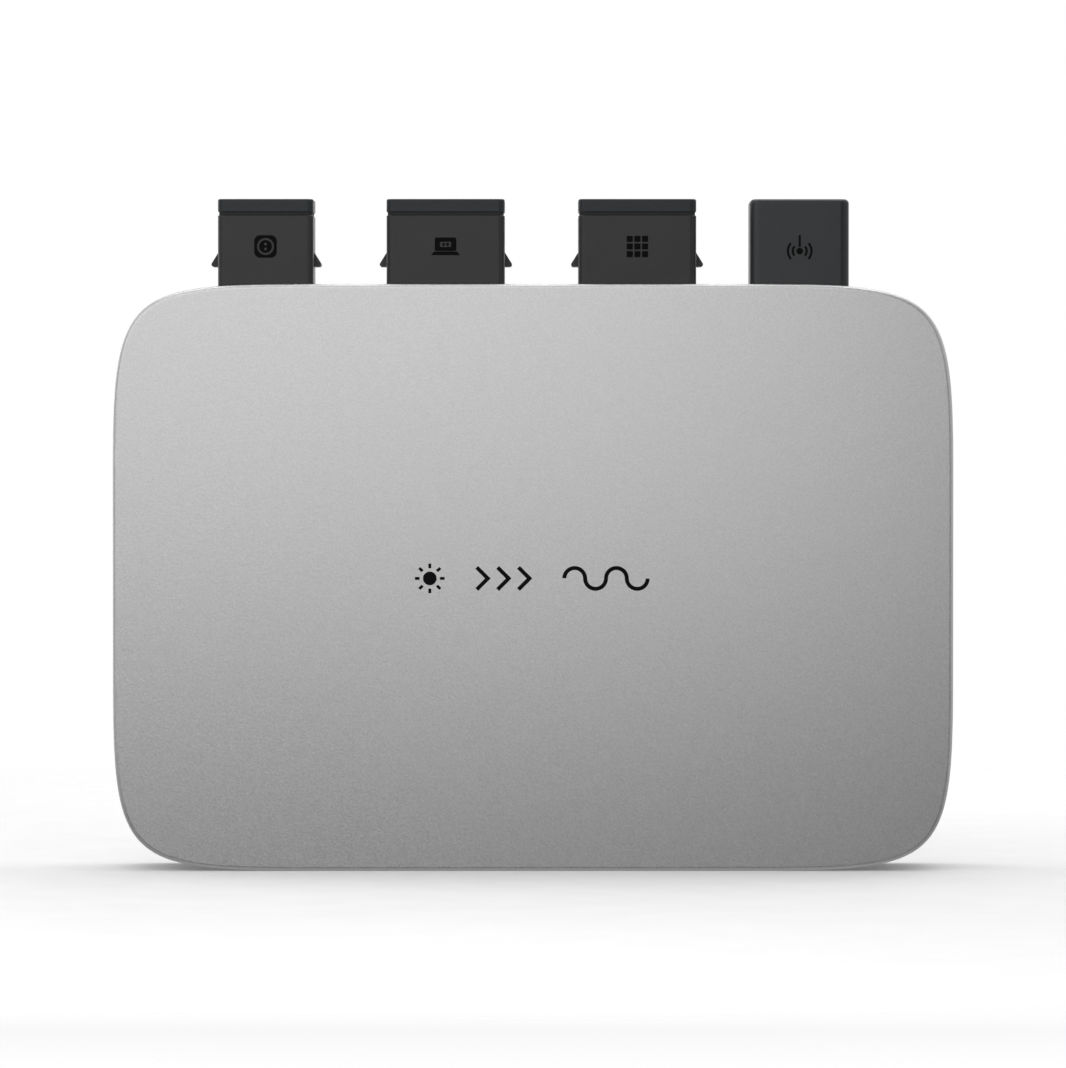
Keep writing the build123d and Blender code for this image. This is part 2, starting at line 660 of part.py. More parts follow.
with BuildPart() as antenna_cover:
    with BuildSketch(at_height(FLANGE_LOW)):
        with Locations((ANTENNA_X, PORT_Y)):
            RectangleRounded(ANTENNA_WIDTH, ANTENNA_DEPTH, ANTENNA_CORNER)
    extrude(amount=PORT_TOP - FLANGE_LOW)
    fillet(antenna_cover.faces().sort_by(Axis.Z)[-1].edges(), radius=ANTENNA_TOP_ROUND)
    with BuildSketch(at_height(FLANGE_LOW)):
        with Locations((ANTENNA_X, PORT_Y)):
            RectangleRounded(ANTENNA_WIDTH + 2 * FLANGE_EAR, FLANGE_DEPTH, FLANGE_CORNER)
    extrude(amount=FLANGE_THICK)
    with BuildSketch(at_height(FLANGE_LOW)):
        with Locations((ANTENNA_X, PORT_Y)):
            RectangleRounded(ANTENNA_WIDTH - 2 * ANTENNA_WALL, ANTENNA_DEPTH - 2 * ANTENNA_WALL, 1.0)
    extrude(amount=PORT_TOP - ANTENNA_WALL - FLANGE_LOW, mode=Mode.SUBTRACT)
    # Two ribs on each inner side wall hold the antenna board's edges
    for side in (-1, 1):
        inner = ANTENNA_X + side * (ANTENNA_WIDTH / 2 - ANTENNA_WALL)
        for front, back in [(-2.0, -0.6), (0.6, 2.0)]:
            block(
                sorted((inner - side * 1.6, inner + side * 0.5)),
                (PORT_Y + front, PORT_Y + back),
                (FLANGE_TOP, ANTENNA_BOARD_TOP),
            )
    with BuildSketch(at_height(FLANGE_LOW)):
        with Locations(*ANTENNA.screw_spots):
            Circle(PORT_SCREW_RADIUS + 0.2)
    extrude(amount=FLANGE_THICK, mode=Mode.SUBTRACT)
save(antenna_cover, "antenna_cover")
save(flange_seal(ANTENNA), "antenna_flange_seal")

with BuildPart() as antenna_board:
    block(
        (ANTENNA_X - 11.5, ANTENNA_X + 11.5),
        (ANTENNA_BOARD_FRONT, ANTENNA_BOARD_BACK),
        (ANTENNA_BOARD_LOW, ANTENNA_BOARD_TOP),
    )
save(antenna_board, "antenna_board")

with BuildPart() as antenna_trace:
    with BuildSketch(at_depth(ANTENNA_BOARD_FRONT)):
        with BuildLine():
            Polyline(
                (ANTENNA_X + 6.0, 158.0),
                (ANTENNA_X + 6.0, 184.0),
                (ANTENNA_X - 8.0, 184.0),
                (ANTENNA_X - 8.0, 179.0),
                (ANTENNA_X + 1.5, 179.0),
                (ANTENNA_X + 1.5, 174.0),
                (ANTENNA_X - 8.0, 174.0),
                (ANTENNA_X - 8.0, 168.0),
            )
            offset(amount=TRACE_WIDTH / 2, side=Side.BOTH)
        make_face()
    extrude(amount=TRACE_THICK)
save(antenna_trace, "antenna_trace")

# ---- the circuit board ----

BOARD_CUT = BOARD_CORNER_CUT

with BuildPart() as main_board:
    with BuildSketch(at_depth(BOARD_BACK)):
        with BuildLine():
            Polyline(
                (BOARD_HALF_WIDTH, BOARD_LOW + BOARD_CUT),
                (BOARD_HALF_WIDTH, BOARD_TOP),
                (-BOARD_HALF_WIDTH, BOARD_TOP),
                (-BOARD_HALF_WIDTH, BOARD_LOW + BOARD_CUT),
                (-BOARD_HALF_WIDTH + BOARD_CUT, BOARD_LOW),
                (BOARD_HALF_WIDTH - BOARD_CUT, BOARD_LOW),
                close=True,
            )
        make_face()
        with Locations(*BOARD_SCREW_SPOTS):
            Circle(1.65, mode=Mode.SUBTRACT)
        for port in PORTS:
            for offset_x, radius in port.contacts:
                with Locations((port.x + offset_x, TAIL_Z)):
                    Circle(radius + TAIL_CLEARANCE, mode=Mode.SUBTRACT)
    extrude(amount=BOARD_THICK)
save(main_board, "main_board")

board_screws = screw_group(
    at_depth(BOARD_FRONT), BOARD_SCREW_SPOTS, head=(2.8, 2.0), shank=(1.2, 6.5), socket=1.3
)
save(board_screws, "board_screws")

with BuildPart() as insulation_sheet:
    with BuildSketch(at_depth(CAVITY_FRONT)):
        with Locations((0, 80.0)):
            RectangleRounded(200.0, 128.0, 6.0)
    extrude(amount=-0.3)
save(insulation_sheet, "insulation_sheet")

# Transistors on the back of the board, pressed on the heat sink through soft pads
with BuildPart() as power_transistors:
    for x, z in MOSFET_SPOTS:
        half = MOSFET_SIZE[0] / 2
        block((x - half, x + half), (BOARD_BACK, BOARD_BACK + MOSFET_SIZE[1]), (z - 4.5, z + 4.5))
        block((x - half + 0.8, x + half - 0.8), (BOARD_BACK + 1.2, BOARD_BACK + 2.4), (z + 4.5, z + 6.0))
        for lead in (-2.5, 2.5):
            block((x + lead - 0.5, x + lead + 0.5), (BOARD_BACK, BOARD_BACK + 0.6), (z - 8.0, z - 4.5))
save(power_transistors, "power_transistors")

with BuildPart() as thermal_pads:
    with BuildSketch(at_depth(PEDESTAL_FRONT)):
        with Locations(*MOSFET_SPOTS):
            Rectangle(MOSFET_SIZE[0] + 1.0, MOSFET_SIZE[2] + 1.0)
    extrude(amount=THERMAL_PAD_THICK)
save(thermal_pads, "thermal_pads")

# Two transformers: a ferrite core with two windows, a bobbin round its middle leg and the winding on that
TRANSFORMER_SPOTS = [(-9.0, 86.0), (35.0, 86.0)]
CORE_MIDDLE_Y = -5.5
CORE_THICK = 10.0
WINDOW_X = 8.5
WINDOW_SIZE = (7.0, 20.0)
LEG_WIDTH = 10.0
BOBBIN_WALL = 0.7
WINDING_HALF_DEPTH = 7.4
WINDING_HALF_WIDTH = 11.6
COIL_HEIGHT = 17.6

with BuildPart() as transformer_cores:
    for x, z in TRANSFORMER_SPOTS:
        with BuildSketch(at_depth(CORE_MIDDLE_Y)):
            with Locations((x, z)):
                Rectangle(34.0, 28.0)
            with Locations((x - WINDOW_X, z), (x + WINDOW_X, z)):
                Rectangle(*WINDOW_SIZE, mode=Mode.SUBTRACT)
        extrude(amount=CORE_THICK / 2, both=True)
save(transformer_cores, "transformer_cores")

with BuildPart() as transformer_bobbins:
    for x, z in TRANSFORMER_SPOTS:
        bore = LEG_WIDTH / 2 + 0.1
        tube = bore + BOBBIN_WALL
        cheek = (CORE_MIDDLE_Y - WINDING_HALF_DEPTH, BOARD_FRONT)
        for low, high in [(z - 9.6, z - 8.8), (z + 8.8, z + 9.6)]:
            block((x - WINDING_HALF_WIDTH, x + WINDING_HALF_WIDTH), cheek, (low, high))
        block((x - tube, x + tube), (CORE_MIDDLE_Y - tube, CORE_MIDDLE_Y + tube), (z - 9.6, z + 9.6))
        leg = (CORE_MIDDLE_Y - bore, CORE_MIDDLE_Y + bore)
        block((x - bore, x + bore), leg, (z - 10.0, z + 10.0), mode=Mode.SUBTRACT)
save(transformer_bobbins, "transformer_bobbins")

with BuildPart() as transformer_windings:
    for x, z in TRANSFORMER_SPOTS:
        hole = LEG_WIDTH + 0.3 + 2 * BOBBIN_WALL
        with BuildSketch(at_height(z - COIL_HEIGHT / 2)):
            with Locations((x, CORE_MIDDLE_Y)):
                RectangleRounded(2 * WINDING_HALF_WIDTH - 0.6, 2 * WINDING_HALF_DEPTH - 0.4, 2.5)
                Rectangle(hole, hole, mode=Mode.SUBTRACT)
        extrude(amount=COIL_HEIGHT)
save(transformer_windings, "transformer_windings")

with BuildPart() as winding_pads:
    for x, z in TRANSFORMER_SPOTS:
        front = CAVITY_FRONT + 0.3
        block((x - 9.0, x + 9.0), (front, CORE_MIDDLE_Y - WINDING_HALF_DEPTH), (z - 9.0, z + 9.0))
save(winding_pads, "winding_pads")

# Electrolytic capacitors lying on the board, each with a crimped neck
CAPACITOR_RADIUS = 6.6
CAPACITOR_LENGTH = 33.0
CAPACITOR_SPOTS = [(-52.0 + 15.0 * i, 20.0) for i in range(5)]
CAPACITOR_Y = BOARD_FRONT - CAPACITOR_RADIUS - 0.1

with BuildPart() as dc_capacitors:
    for x, z in CAPACITOR_SPOTS:
        with BuildSketch(Plane(origin=(x, CAPACITOR_Y, z), x_dir=(1, 0, 0), z_dir=(0, -1, 0))):
            with BuildLine():
                Polyline(
                    (0, 0),
                    (CAPACITOR_RADIUS - 0.6, 0),
                    (CAPACITOR_RADIUS, 0.6),
                    (CAPACITOR_RADIUS, 3.0),
                    (CAPACITOR_RADIUS - 0.8, 3.8),
                    (CAPACITOR_RADIUS, 4.6),
                    (CAPACITOR_RADIUS, CAPACITOR_LENGTH - 0.8),
                    (CAPACITOR_RADIUS - 0.8, CAPACITOR_LENGTH),
                    (0, CAPACITOR_LENGTH),
                    close=True,
                )
            make_face()
        revolve(axis=Axis((x, CAPACITOR_Y, z), (0, 0, 1)))
save(dc_capacitors, "dc_capacitors")

# Common-mode choke: a ring core lying on the board, wound on two sides
CHOKE_SPOT = (-80.0, 106.0)
CHOKE_RADIUS = 11.0
CHOKE_SECTION = 4.0
WIRE_RADIUS = 0.55
TURN_RADIUS = CHOKE_SECTION + WIRE_RADIUS + 0.1
CHOKE_Y = BOARD_FRONT - TURN_RADIUS - WIRE_RADIUS - 0.1
TURN_ANGLES = [start + 16.0 * i for start in (34.0, 214.0) for i in range(8)]

with BuildPart() as choke_core:
    with Locations(Plane(origin=(CHOKE_SPOT[0], CHOKE_Y, CHOKE_SPOT[1]), z_dir=(0, 1, 0))):
        Torus(CHOKE_RADIUS, CHOKE_SECTION)
save(choke_core, "choke_core")

with BuildPart() as choke_windings:
    for angle in TURN_ANGLES:
        out = Vector(cos(radians(angle)), 0, sin(radians(angle)))
        along = Vector(-sin(radians(angle)), 0, cos(radians(angle)))
        middle = Vector(CHOKE_SPOT[0], CHOKE_Y, CHOKE_SPOT[1]) + out * CHOKE_RADIUS
        with Locations(Plane(origin=middle, x_dir=out, z_dir=along)):
            Torus(TURN_RADIUS, WIRE_RADIUS)
save(choke_windings, "choke_windings")



def board_blocks(spots, size, edge):
    """Separate blocks of one size (along X, height over the board, along Z) on the board's front."""
    length, height, width = size
    with BuildPart() as group:
        for x, z in spots:
            across = (x - length / 2, x + length / 2)
            up = (z - width / 2, z + width / 2)
            block(across, (BOARD_FRONT - height, BOARD_FRONT), up)
        fillet(group.edges(), radius=edge)
    return group


save(board_blocks([(-49.0, 101.5), (-49.0, 114.5)], (26.0, 13.0, 9.0), 0.6), "film_capacitors")
save(board_blocks([(-90.0, 55.5), (-90.0, 71.5)], (20.0, 14.5, 11.0), 0.5), "grid_relays")
save(board_blocks([(72.0, 96.0), (94.0, 96.0)], (20.0, 12.0, 20.0), 1.2), "boost_inductors")

with BuildPart() as fuse:
    with BuildSketch(Plane.YZ.offset(-64.0)):
        with Locations((BOARD_FRONT - 3.2, 127.0)):
            Circle(2.6)
    extrude(amount=20.0)
    for start in (-64.0, -49.0):
        with BuildSketch(Plane.YZ.offset(start)):
            with Locations((BOARD_FRONT - 3.2, 127.0)):
                Circle(3.0)
        extrude(amount=5.0)
save(fuse, "fuse")

with BuildPart() as varistors:
    for x in (-72.0, -65.0):
        with BuildSketch(Plane.YZ.offset(x)):
            with Locations((BOARD_FRONT - 7.6, 82.0)):
                Circle(6.5)
        extrude(amount=4.0)
    fillet(varistors.edges(), radius=1.2)
save(varistors, "varistors")

# Control card standing on its header, with the controller chip
CARD_Z = 40.0
CARD_THICK = 1.2
CARD_X = (28.0, 88.0)
HEADER_HEIGHT = 2.6

with BuildPart() as control_header:
    header_depth = (BOARD_FRONT - HEADER_HEIGHT, BOARD_FRONT)
    block((CARD_X[0] + 4, CARD_X[1] - 4), header_depth, (CARD_Z - 2.5, CARD_Z + 2.5))
save(control_header, "control_header")

with BuildPart() as control_card:
    card_depth = (-11.5, BOARD_FRONT - HEADER_HEIGHT)
    block(CARD_X, card_depth, (CARD_Z - CARD_THICK / 2, CARD_Z + CARD_THICK / 2))
save(control_card, "control_card")

with BuildPart() as control_chips:
    card_face = CARD_Z + CARD_THICK / 2
    block((52.0, 64.0), (-10.8, 0.2), (card_face, card_face + 1.4))
    for left in (34.0, 72.0):
        block((left, left + 8.0), (-8.0, -2.0), (card_face, card_face + 1.6))
    chamfer(control_chips.edges().filter_by(Axis.Z), length=0.3)
save(control_chips, "control_chips")

# Radio module with its shield, and the lead up to the antenna board
MODULE_X = (70.0, 96.0)
MODULE_Z = (110.0, 128.0)
MODULE_THICK = 0.8
SHIELD_HEIGHT = 2.2
LEAD_RADIUS = 0.6
LEAD_PLUG_RADIUS = 1.6
LEAD_PLUG_HEIGHT = 1.6
MODULE_PLUG = (92.0, 124.5)
LEAD_TOP_Y = ANTENNA_BOARD_FRONT - LEAD_PLUG_HEIGHT / 2
LEAD_LOW_Y = BOARD_FRONT - MODULE_THICK - LEAD_PLUG_HEIGHT / 2

with BuildPart() as radio_module:
    block(MODULE_X, (BOARD_FRONT - MODULE_THICK, BOARD_FRONT), MODULE_Z)
save(radio_module, "radio_module")

with BuildPart() as radio_shield:
    shield_back = BOARD_FRONT - MODULE_THICK
    block((72.0, 88.0), (shield_back - SHIELD_HEIGHT, shield_back), (111.5, 126.5))
    fillet(radio_shield.edges().filter_by(Axis.Y), radius=1.0)
save(radio_shield, "radio_shield")

with BuildPart() as antenna_plugs:
    with BuildSketch(at_depth(ANTENNA_BOARD_FRONT)):
        with Locations(ANTENNA_PLUG):
            Circle(LEAD_PLUG_RADIUS)
    extrude(amount=LEAD_PLUG_HEIGHT)
    with BuildSketch(at_depth(BOARD_FRONT - MODULE_THICK)):
        with Locations(MODULE_PLUG):
            Circle(LEAD_PLUG_RADIUS)
    extrude(amount=LEAD_PLUG_HEIGHT)
save(antenna_plugs, "antenna_plugs")

with BuildPart() as antenna_lead:
    start = Vector(ANTENNA_PLUG[0], LEAD_TOP_Y, ANTENNA_PLUG[1] - LEAD_PLUG_RADIUS - 0.05)
    end = Vector(MODULE_PLUG[0], LEAD_LOW_Y, MODULE_PLUG[1] + LEAD_PLUG_RADIUS + 0.05)
    with BuildLine() as lead_route:
        FilletPolyline(start, start - (0, 0, 9), end + (0, 0, 9), end, radius=7.0)
    with BuildSketch(Plane(origin=start, z_dir=(0, 0, -1))):
        Circle(LEAD_RADIUS)
    sweep(path=lead_route.wires()[0])
save(antenna_lead, "antenna_lead")

# ---- the status light ----

with BuildPart() as light_pipe:
    with BuildSketch(at_height(LIGHT_LOW)):
        with Locations((LIGHT_X, PORT_Y)):
            Circle(LIGHT_RADIUS)
    extrude(amount=HEIGHT + LIGHT_PROUD - LIGHT_LOW)
    fillet(light_pipe.faces().sort_by(Axis.Z)[-1].edges(), radius=0.4)
    with BuildSketch(at_height(CAVITY_TOP)):
        with Locations((LIGHT_X, PORT_Y)):
            Circle(LIGHT_RADIUS + 1.2)
    extrude(amount=-2.0)
    # A slanted end turns the lamp's light upwards
    with BuildSketch(Plane.YZ.offset(LIGHT_X)):
        with BuildLine():
            Polyline(
                (PORT_Y - LIGHT_RADIUS - 1, LIGHT_LOW - 1),
                (PORT_Y + LIGHT_RADIUS, LIGHT_LOW - 1),
                (PORT_Y - LIGHT_RADIUS - 1, LIGHT_LOW + 2 * LIGHT_RADIUS),
                close=True,
            )
        make_face()
    extrude(amount=LIGHT_RADIUS + 1, both=True, mode=Mode.SUBTRACT)
save(light_pipe, "light_pipe")

with BuildPart() as status_lamp:
    lamp_depth = (BOARD_FRONT - 1.6, BOARD_FRONT)
    block((LIGHT_X - 1.7, LIGHT_X + 1.7), lamp_depth, (LIGHT_LOW + 0.6, LIGHT_LOW + 3.4))
save(status_lamp, "status_lamp")
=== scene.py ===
"""The looks of a micro inverter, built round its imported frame: materials, printed signs, lights and camera.

Everything is in metres in the frame's own axes: +X to the right seen from the front, +Y towards the finned
back, +Z up to the sockets. Places come from the frame's boxes. Sizes given in mm are named with MM.
"""

import json
import math
import random

import bpy
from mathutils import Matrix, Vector


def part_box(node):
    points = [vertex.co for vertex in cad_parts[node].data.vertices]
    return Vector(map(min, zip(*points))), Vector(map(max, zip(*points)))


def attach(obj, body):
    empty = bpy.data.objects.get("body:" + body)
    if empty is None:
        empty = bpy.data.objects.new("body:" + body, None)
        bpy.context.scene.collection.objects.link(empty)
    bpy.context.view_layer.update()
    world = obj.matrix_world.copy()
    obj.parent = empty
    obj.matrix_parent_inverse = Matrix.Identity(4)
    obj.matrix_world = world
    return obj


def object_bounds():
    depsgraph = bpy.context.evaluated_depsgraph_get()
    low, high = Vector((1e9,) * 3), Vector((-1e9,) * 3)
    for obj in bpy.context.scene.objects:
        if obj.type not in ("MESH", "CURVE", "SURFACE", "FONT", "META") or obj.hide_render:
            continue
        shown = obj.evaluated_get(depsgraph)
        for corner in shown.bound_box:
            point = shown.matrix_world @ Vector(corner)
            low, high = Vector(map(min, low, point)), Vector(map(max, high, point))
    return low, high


MM = 0.001

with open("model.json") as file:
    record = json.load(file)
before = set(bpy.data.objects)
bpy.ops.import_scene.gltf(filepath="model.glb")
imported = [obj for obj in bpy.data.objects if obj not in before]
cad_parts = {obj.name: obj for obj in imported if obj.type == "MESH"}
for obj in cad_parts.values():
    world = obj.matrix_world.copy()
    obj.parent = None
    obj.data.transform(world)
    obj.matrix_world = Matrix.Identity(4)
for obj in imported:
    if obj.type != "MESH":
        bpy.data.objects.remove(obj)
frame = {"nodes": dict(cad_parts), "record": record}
nodes = frame["nodes"]
cad_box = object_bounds()
low, high = cad_box
middle = (low + high) / 2

# ---- node helpers ----


class Shader:
    """A material being made: its principled shader, and short calls that add nodes and link them."""

    def __init__(self, name, metallic=0.0, specular=0.5):
        self.material = bpy.data.materials.new(name)
        self.material.use_nodes = True
        self.tree = self.material.node_tree
        self.surface = self.tree.nodes["Principled BSDF"]
        self.surface.inputs["Metallic"].default_value = metallic
        self.surface.inputs["Specular IOR Level"].default_value = specular
        self.place = self.add("ShaderNodeTexCoord").outputs["Object"]

    def add(self, kind, **settings):
        node = self.tree.nodes.new(kind)
        for setting, value in settings.items():
            setattr(node, setting, value)
        return node

    def link(self, output, socket):
        self.tree.links.new(output, socket)

    def stretched(self, stretch):
        """The object's own coordinates, scaled apart along each axis."""
        mapping = self.add("ShaderNodeMapping")
        mapping.inputs["Scale"].default_value = stretch
        self.link(self.place, mapping.inputs["Vector"])
        return mapping.outputs["Vector"]

    def noise(self, size, detail=2.0, rough=0.5, stretch=None):
        """Cloudy noise from 0 to 1 whose features are about size metres across."""
        node = self.add("ShaderNodeTexNoise")
        node.inputs["Scale"].default_value = 1 / size
        node.inputs["Detail"].default_value = detail
        node.inputs["Roughness"].default_value = rough
        self.link(self.stretched(stretch) if stretch else self.place, node.inputs["Vector"])
        return node.outputs["Fac"]

    def cells(self, size, metric="EUCLIDEAN"):
        """Distance to the nearest of scattered points that are about size metres apart."""
        node = self.add("ShaderNodeTexVoronoi", distance=metric)
        node.inputs["Scale"].default_value = 1 / size
        self.link(self.place, node.inputs["Vector"])
        return node.outputs["Distance"]

    def range(self, value, low_in, high_in, low_out, high_out):
        node = self.add("ShaderNodeMapRange", clamp=True)
        self.link(value, node.inputs["Value"])
        limits = {"From Min": low_in, "From Max": high_in, "To Min": low_out, "To Max": high_out}
        for socket, number in limits.items():
            node.inputs[socket].default_value = number
        return node.outputs["Result"]

    def math(self, operation, first, second):
        node = self.add("ShaderNodeMath", operation=operation)
        for socket, value in zip(node.inputs, (first, second)):
            if isinstance(value, (int, float)):
                socket.default_value = value
            else:
                self.link(value, socket)
        return node.outputs["Value"]

    def mix(self, share, first, second, blend="MIX"):
        """One colour passing into another. Share and colours are sockets or values."""
        node = self.add("ShaderNodeMix", data_type="RGBA", blend_type=blend)
        for socket, value in zip((node.inputs[0], node.inputs[6], node.inputs[7]), (share, first, second)):
            if isinstance(value, bpy.types.NodeSocket):
                self.link(value, socket)
            elif isinstance(value, (int, float)):
                socket.default_value = value
            else:
                socket.default_value = (*value, 1)
        return node.outputs[2]

    def edges(self, radius):
        """Rises from 0 on flat stretches to 1 on edges sharper than radius."""
        rounded = self.add("ShaderNodeBevel", samples=4)
        rounded.inputs["Radius"].default_value = radius
        face = self.add("ShaderNodeNewGeometry")
        agree = self.add("ShaderNodeVectorMath", operation="DOT_PRODUCT")
        self.link(rounded.outputs["Normal"], agree.inputs[0])
        self.link(face.outputs["Normal"], agree.inputs[1])
        return self.range(agree.outputs["Value"], 0.995, 0.90, 0.0, 1.0)

    def bump(self, *layers):
        """Bump layers, each (height socket, depth in metres), the coarsest first."""
        normal = None
        for height, depth in layers:
            node = self.add("ShaderNodeBump")
            node.inputs["Strength"].default_value = 1.0
            node.inputs["Distance"].default_value = depth
            self.link(height, node.inputs["Height"])
            if normal is not None:
                self.link(normal, node.inputs["Normal"])
            normal = node.outputs["Normal"]
        self.link(normal, self.surface.inputs["Normal"])

    def colour(self, socket):
        self.link(socket, self.surface.inputs["Base Color"])

    def roughness(self, socket):
        self.link(socket, self.surface.inputs["Roughness"])


def tint(colour, factor):
    return tuple(min(1.0, channel * factor) for channel in colour)


# ---- material kinds ----


def blasted_metal(name, colour, rough, grain, depth, speckle, cloud=0.02):
    """Bead-blasted aluminium: fine pits, a salt-and-pepper speckle, faint clouds and burnished edges."""
    s = Shader(name, metallic=1.0)
    pits = s.noise(grain, detail=3.0, rough=0.65)
    flecks = s.cells(grain * 1.6)
    clouds = s.noise(0.06, detail=3.0)
    worn = s.edges(0.0007)
    shade = s.mix(s.range(pits, 0.32, 0.68, 0, 1), tint(colour, 1 - speckle), tint(colour, 1 + speckle))
    shade = s.mix(s.range(clouds, 0.35, 0.65, 0, cloud * 6), shade, tint(colour, 0.94))
    s.colour(s.mix(s.math("MULTIPLY", worn, 0.35), shade, tint(colour, 1.18)))
    spread = s.range(pits, 0.3, 0.7, rough - 0.05, rough + 0.05)
    s.roughness(s.math("SUBTRACT", spread, s.math("MULTIPLY", worn, 0.06)))
    s.bump((pits, depth), (flecks, depth * 0.6))
    return s.material


def moulded(name, colour, rough, grain=0.00028, depth=0.000012, specular=0.45, wear=0.25):
    """Textured moulded plastic: a fine spark-eroded grain, slight mottling and polished, paler edges."""
    s = Shader(name, specular=specular)
    texture = s.noise(grain, detail=2.5, rough=0.6)
    mottle = s.noise(0.012, detail=2.0)
    worn = s.edges(0.0004)
    shade = s.mix(s.range(mottle, 0.3, 0.7, 0, 1), tint(colour, 0.93), tint(colour, 1.07))
    shade = s.mix(s.range(texture, 0.35, 0.65, 0, 0.5), shade, tint(colour, 1.12))
    s.colour(s.mix(s.math("MULTIPLY", worn, wear), shade, tint(colour, 2.2)))
    spread = s.range(texture, 0.3, 0.7, rough - 0.05, rough + 0.06)
    s.roughness(s.math("SUBTRACT", spread, s.math("MULTIPLY", worn, 0.15)))
    s.bump((mottle, depth * 2), (texture, depth))
    return s.material


def rubber(name, colour, rough=0.75):
    """Moulded silicone: matte, with a soft dusty bloom."""
    s = Shader(name, specular=0.3)
    dust = s.noise(0.004, detail=4.0, rough=0.7)
    skin = s.noise(0.0005, detail=2.0)
    s.colour(s.mix(s.range(dust, 0.4, 0.75, 0, 0.5), colour, tint(colour, 2.0)))
    s.roughness(s.range(dust, 0.3, 0.7, rough - 0.08, rough + 0.12))
    s.bump((dust, 0.00003), (skin, 0.00001))
    return s.material


def machined(name, colour, rough, stretch=(1, 1, 1), grain=0.0004, tarnish=0.1):
    """Turned or drawn metal: fine lines along one way, with uneven tarnish and bright edges."""
    s = Shader(name, metallic=1.0)
    lines = s.noise(grain, detail=3.0, rough=0.6, stretch=stretch)
    stains = s.noise(0.003, detail=3.0)
    worn = s.edges(0.0003)
    shade = s.mix(s.range(lines, 0.3, 0.7, 0, 1), tint(colour, 0.9), tint(colour, 1.06))
    shade = s.mix(s.range(stains, 0.45, 0.75, 0, tarnish * 3), shade, tint(colour, 0.7))
    s.colour(s.mix(s.math("MULTIPLY", worn, 0.4), shade, tint(colour, 1.2)))
    s.roughness(s.range(stains, 0.3, 0.7, rough - 0.05, rough + 0.1))
    s.bump((lines, 0.000004), (stains, 0.000002))
    return s.material


def laminate(name, mask, weave=0.0012):
    """Circuit board: solder mask over a woven core, with a faint pattern of buried copper."""
    s = Shader(name, specular=0.5)
    warp = s.add("ShaderNodeTexWave", wave_type="BANDS", bands_direction="X")
    weft = s.add("ShaderNodeTexWave", wave_type="BANDS", bands_direction="Z")
    for wave in (warp, weft):
        wave.inputs["Scale"].default_value = 0.32 / weave
        wave.inputs["Distortion"].default_value = 0.6
        s.link(s.place, wave.inputs["Vector"])
    cloth = s.math("MULTIPLY", warp.outputs["Fac"], weft.outputs["Fac"])
    copper = s.cells(0.011, metric="CHEBYCHEV")
    poured = s.range(copper, 0.40, 0.43, 0, 1)
    shade = s.mix(s.range(cloth, 0, 1, 0, 0.35), mask, tint(mask, 1.35))
    s.colour(s.mix(s.math("MULTIPLY", poured, 0.6), shade, tint(mask, 1.7)))
    s.roughness(s.range(cloth, 0, 1, 0.30, 0.42))
    s.bump((poured, 0.00004), (cloth, 0.00001))
    return s.material


def wound_copper(name, colour, wire, axis="Z"):
    """Enamelled wire laid side by side: ridges across one axis, darkened towards the grooves between turns as
    painted shade, with blotchy enamel tone.
    """
    s = Shader(name, metallic=1.0)
    turns = s.add("ShaderNodeTexWave", wave_type="BANDS", bands_direction=axis, wave_profile="SIN")
    turns.inputs["Scale"].default_value = 0.314 / wire
    turns.inputs["Distortion"].default_value = 0.25
    s.link(s.place, turns.inputs["Vector"])
    enamel = s.noise(0.002, detail=3.0)
    # Painted shade: each turn darkens towards the grooves between turns, where the bump dips, and is lighter
    # on its crest.
    shade = s.mix(turns.outputs["Fac"], tint(colour, 0.45), tint(colour, 1.1))
    s.colour(s.mix(s.range(enamel, 0.35, 0.7, 0, 0.4), shade, tint(colour, 0.65)))
    s.roughness(s.range(enamel, 0.3, 0.7, 0.25, 0.42))
    s.bump((turns.outputs["Fac"], wire * 0.3), (enamel, 0.00001))
    return s.material


def ceramic(name, colour, rough, grain=0.0006):
    """Sintered body: dense and speckled, with small pores and chipped edges."""
    s = Shader(name, specular=0.4)
    pores = s.cells(grain)
    body = s.noise(0.004, detail=4.0)
    worn = s.edges(0.0005)
    shade = s.mix(s.range(body, 0.3, 0.7, 0, 1), tint(colour, 0.85), tint(colour, 1.15))
    s.colour(s.mix(s.math("MULTIPLY", worn, 0.4), shade, tint(colour, 1.8)))
    s.roughness(s.range(body, 0.3, 0.7, rough - 0.06, rough + 0.08))
    s.bump((body, 0.00004), (pores, 0.00002))
    return s.material


def clear_plastic(name, colour, rough):
    """Light-guiding plastic: milky, with a faint haze and fine scuffs."""
    s = Shader(name, specular=0.5)
    s.surface.inputs["Transmission Weight"].default_value = 0.3
    s.surface.inputs["IOR"].default_value = 1.58
    haze = s.noise(0.001, detail=3.0)
    scuffs = s.noise(0.0003, detail=2.0)
    s.colour(s.mix(s.range(haze, 0.3, 0.7, 0, 1), tint(colour, 0.94), colour))
    s.roughness(s.range(haze, 0.3, 0.7, rough - 0.05, rough + 0.1))
    s.bump((haze, 0.000003), (scuffs, 0.000001))
    return s.material


def ink(name, colour, rough=0.5):
    """Pad-printed ink: thin and matte, with a fine mottled film."""
    s = Shader(name, specular=0.04)
    film = s.noise(0.0002, detail=3.0)
    patches = s.noise(0.002, detail=2.0)
    shade = s.mix(s.range(film, 0.3, 0.7, 0, 1), tint(colour, 0.8), tint(colour, 1.25))
    s.colour(s.mix(s.range(patches, 0.4, 0.7, 0, 0.4), shade, tint(colour, 1.3)))
    s.roughness(s.range(film, 0.3, 0.7, rough - 0.06, rough + 0.08))
    s.bump((film, 0.000006))
    return s.material


# ---- materials, one for each slot of the record ----

